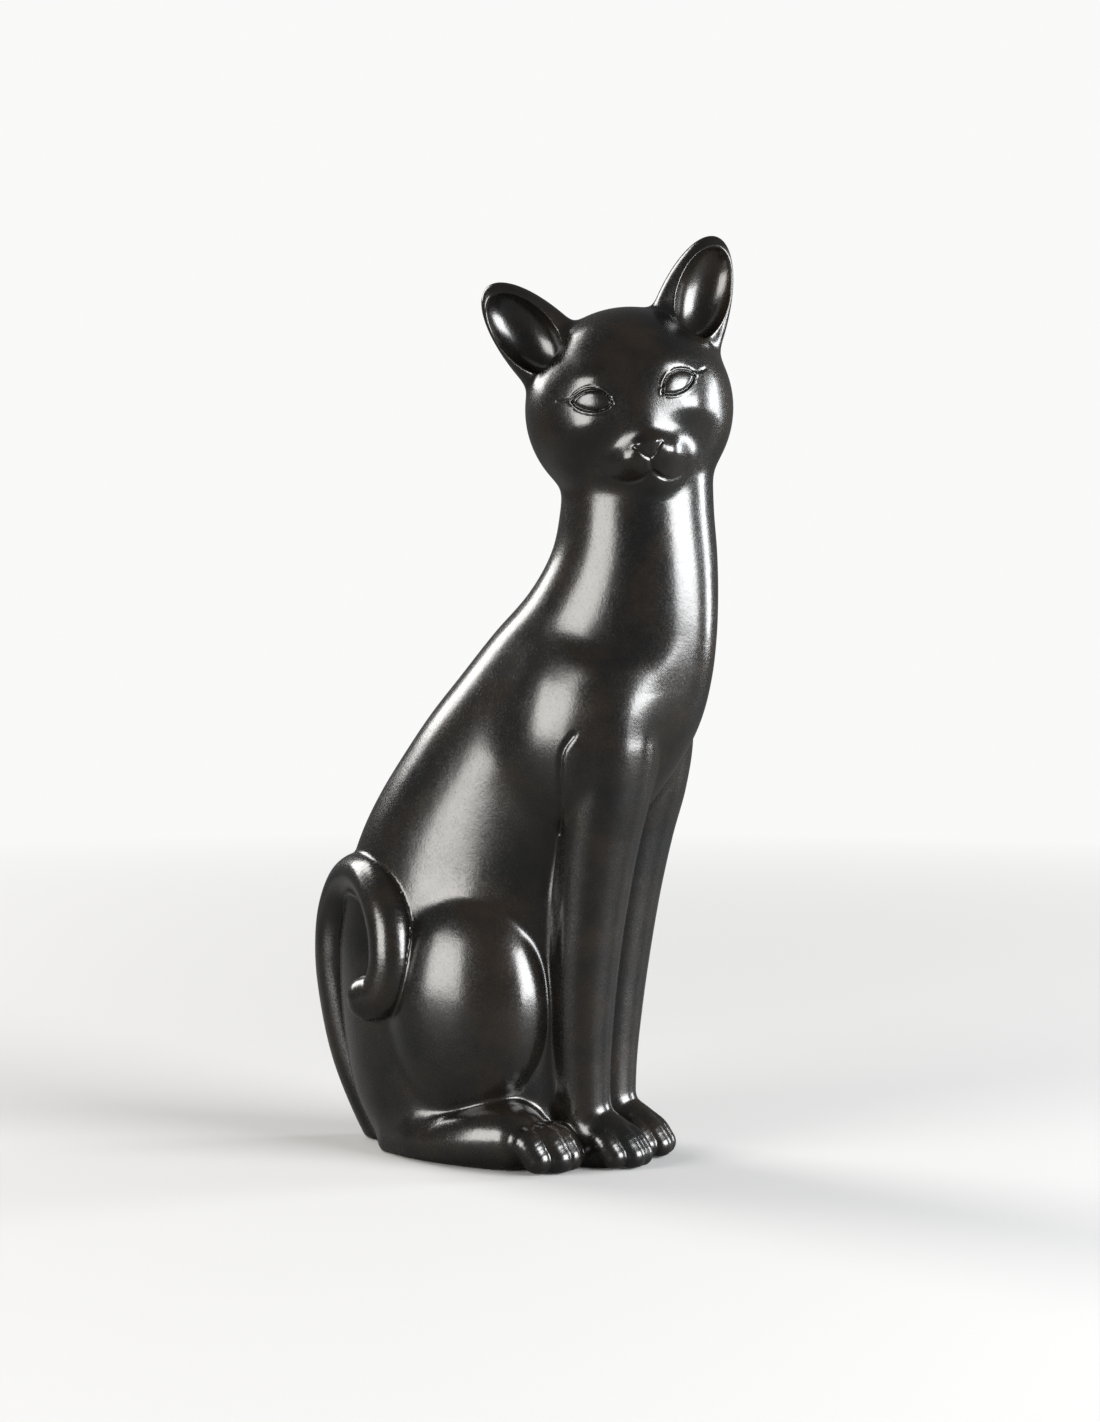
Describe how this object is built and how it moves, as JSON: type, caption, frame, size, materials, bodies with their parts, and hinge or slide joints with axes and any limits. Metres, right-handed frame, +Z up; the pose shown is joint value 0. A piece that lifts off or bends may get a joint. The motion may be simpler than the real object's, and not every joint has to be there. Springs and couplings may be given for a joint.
{
  "type": "ceramic cat figurine",
  "caption": "Seated cat figurine in hollow glazed black ceramic, head turned and tilted to its right, tail curled over the right haunch.",
  "frame": {"origin": "on the ground plane, under the middle of the figurine's bounding box", "axes": "+Z up, the body faces -Y, the cat's right side is -X"},
  "size_m": [0.0786, 0.1476, 0.2952],
  "materials": {
    "glaze": "near-black satin glaze, slightly warm, with a fine pebbled surface",
    "bare_clay": "unglazed bisque, ground flat"
  },
  "bodies": {
    "root": {"torso": "glaze", "head": "glaze", "ear_left": "glaze", "ear_right": "glaze", "front_leg_left": "glaze", "front_leg_right": "glaze", "hind_foot_left": "glaze", "hind_foot_right": "glaze", "tail": "glaze", "base_plate": "bare_clay"}
  },
  "joints": []
}
